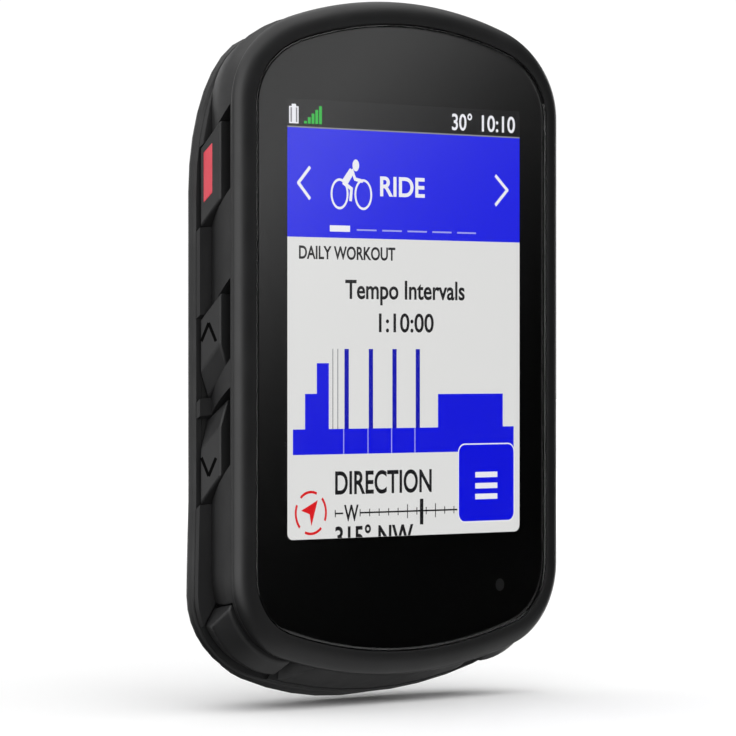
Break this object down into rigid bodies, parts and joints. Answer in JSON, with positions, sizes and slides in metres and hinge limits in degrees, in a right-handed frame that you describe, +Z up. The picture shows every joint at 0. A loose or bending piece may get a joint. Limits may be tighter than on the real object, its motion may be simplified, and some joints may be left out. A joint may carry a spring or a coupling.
{
  "type": "cycling computer",
  "caption": "Handlebar cycling computer: arched touch display in a raised bezel, side and corner push buttons, sealed case, covered charging port and quarter-turn rear mount.",
  "frame": {"origin": "centre of the flat rear face of the quarter-turn mount insert", "axes": "+Z up along the display's long side, +Y out of the back along the mount's turning axis, the display faces -Y, and someone facing the display sees +X on their right"},
  "size_m": [0.0578, 0.0196, 0.0852],
  "materials": {
    "bezel_plastic": "satin moulded",
    "case_plastic": "fine texture",
    "button_plastic": "fine texture",
    "cover_glass": "polished",
    "stripe_plastic": "gloss",
    "soft_rubber": "matt",
    "steel": "brushed",
    "board": "solder mask",
    "chip": "moulded",
    "panel": "satin film",
    "cell": "satin foil",
    "ceramic": "fired, unglazed",
    "ribbon": "polyimide film"
  },
  "bodies": {
    "case": {"front_bezel": "bezel_plastic", "cover_glass": "cover_glass", "glass_adhesive": "soft_rubber", "mid_housing": "case_plastic", "rear_shell": "case_plastic", "housing_gasket": "soft_rubber", "power_seal": "soft_rubber", "up_seal": "soft_rubber", "down_seal": "soft_rubber", "enter_seal": "soft_rubber", "back_seal": "soft_rubber", "lap_seal": "soft_rubber", "start_seal": "soft_rubber", "power_switch": "steel", "up_switch": "steel", "down_switch": "steel", "enter_switch": "steel", "back_switch": "steel", "lap_switch": "steel", "start_switch": "steel", "touch_film": "panel", "display_panel": "panel", "backlight": "panel", "display_ribbon": "ribbon", "support_frame": "steel", "light_sensor": "chip", "main_board": "board", "ribbon_connector": "chip", "shield_can": "steel", "satellite_antenna": "ceramic", "radio_antenna": "ceramic", "pressure_sensor": "steel", "buzzer": "chip", "battery": "cell", "battery_pad": "soft_rubber", "battery_lead": "ribbon", "usb_socket": "steel", "vent_membrane": "soft_rubber", "mount_insert": "case_plastic", "insert_screw_1": "steel", "insert_screw_2": "steel", "insert_screw_3": "steel", "insert_screw_4": "steel", "case_screw_1": "steel", "case_screw_2": "steel", "case_screw_3": "steel", "case_screw_4": "steel"},
    "power_button": {"power_button": "button_plastic", "power_stripe": "stripe_plastic"},
    "up_button": {"up_button": "button_plastic"},
    "down_button": {"down_button": "button_plastic"},
    "enter_button": {"enter_button": "button_plastic"},
    "back_button": {"back_button": "button_plastic"},
    "lap_button": {"lap_button": "button_plastic"},
    "start_button": {"start_button": "button_plastic"},
    "port_cover": {"port_cover": "soft_rubber"}
  },
  "joints": [
    {"name": "power_press", "type": "slide", "parent": "case", "child": "power_button", "axis": [1, 0, 0], "range_m": [0, 0.0005], "stiffness_N_per_m": 400},
    {"name": "up_press", "type": "slide", "parent": "case", "child": "up_button", "axis": [1, 0, 0], "range_m": [0, 0.0005], "stiffness_N_per_m": 400},
    {"name": "down_press", "type": "slide", "parent": "case", "child": "down_button", "axis": [1, 0, 0], "range_m": [0, 0.0005], "stiffness_N_per_m": 400},
    {"name": "enter_press", "type": "slide", "parent": "case", "child": "enter_button", "axis": [-1, 0, 0], "range_m": [0, 0.0005], "stiffness_N_per_m": 400},
    {"name": "back_press", "type": "slide", "parent": "case", "child": "back_button", "axis": [-1, 0, 0], "range_m": [0, 0.0005], "stiffness_N_per_m": 400},
    {"name": "lap_press", "type": "slide", "parent": "case", "child": "lap_button", "axis": [0.5736, 0, 0.8192], "range_m": [0, 0.0005], "stiffness_N_per_m": 400},
    {"name": "start_press", "type": "slide", "parent": "case", "child": "start_button", "axis": [-0.5736, 0, 0.8192], "range_m": [0, 0.0005], "stiffness_N_per_m": 400},
    {"name": "cover_hinge", "type": "hinge", "parent": "case", "child": "port_cover", "pos_m": [0, -0.0026, -0.02345], "axis": [1, 0, 0], "range_deg": [0, 110], "stiffness_Nm_per_rad": 0.0002}
  ]
}
